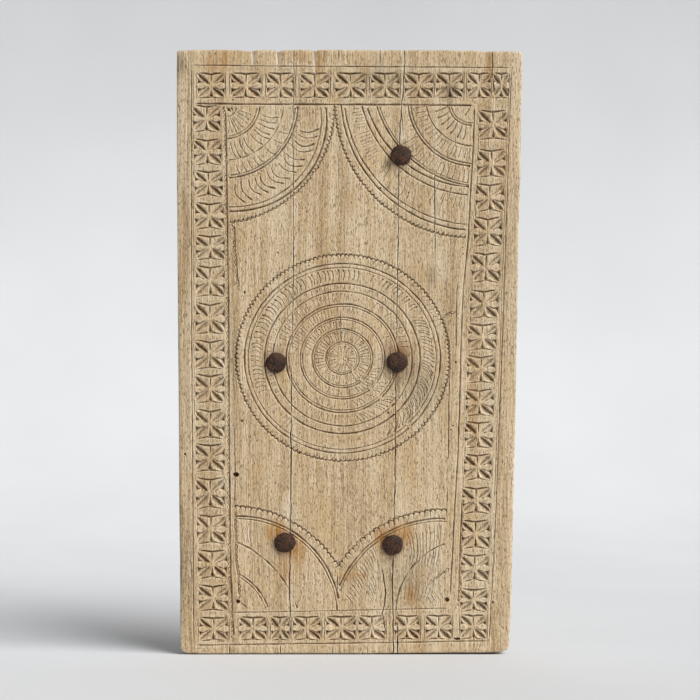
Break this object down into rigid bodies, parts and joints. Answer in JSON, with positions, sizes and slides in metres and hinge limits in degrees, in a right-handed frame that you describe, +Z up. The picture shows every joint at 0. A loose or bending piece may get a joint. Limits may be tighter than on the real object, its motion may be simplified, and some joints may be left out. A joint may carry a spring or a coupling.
{
  "type": "carved wall panel",
  "caption": "Weathered wooden plank, chip-carved with a rosette border, corner fans and a ring medallion, studded with large iron nails, made to be fixed to a wall by its flat back.",
  "frame": {"origin": "centre of the flat back face, midway up the plank and midway across its top edge", "axes": "+Z up the plank along the grain, +Y out of the back towards the wall, -Y out of the carved face, +X to the right seen from the front"},
  "size_m": [0.415, 0.0328, 0.725],
  "materials": {
    "weathered_wood": "bare, sun-bleached and dry, with fine upright grain, cracks and dirt in the cuts",
    "rusted_iron": "hand-forged, dark rough rust"
  },
  "bodies": {
    "root": {"plank": "weathered_wood", "nail_upper_right": "rusted_iron", "nail_centre_left": "rusted_iron", "nail_centre_right": "rusted_iron", "nail_lower_left": "rusted_iron", "nail_lower_right": "rusted_iron"}
  },
  "joints": []
}
